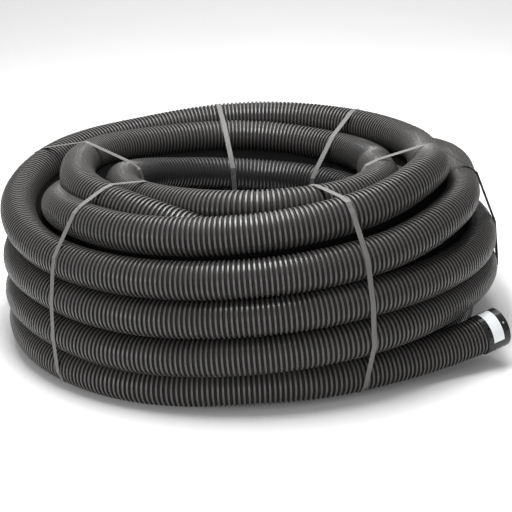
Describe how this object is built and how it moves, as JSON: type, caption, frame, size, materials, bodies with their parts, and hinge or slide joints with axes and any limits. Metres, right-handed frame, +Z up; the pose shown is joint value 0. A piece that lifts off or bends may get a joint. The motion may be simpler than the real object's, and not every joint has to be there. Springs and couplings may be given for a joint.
{
  "type": "coil of corrugated drainage pipe",
  "caption": "Coil of black corrugated plastic drainage pipe lying flat, bound with flat straps, its free end carrying a smooth push-on coupler, used to carry ground water away.",
  "frame": {"origin": "centre of the part's box at floor level", "axes": "+Z up along the coil's axis, +X towards the side where the free end and its coupler stand out, -Y towards the front that the reference picture looks at"},
  "size_m": [1.1344, 1.1404, 0.4394],
  "materials": {
    "pipe_black": "satin extruded polyethylene, ribbed, slightly dusty",
    "coupler_black": "smooth moulded polyethylene",
    "strap_grey": "pale translucent polypropylene band"
  },
  "bodies": {
    "root": {"pipe": "pipe_black", "coupler": "coupler_black", "strap_1": "strap_grey", "strap_2": "strap_grey", "strap_3": "strap_grey", "strap_4": "strap_grey", "strap_5": "strap_grey", "strap_6": "strap_grey"}
  },
  "joints": []
}
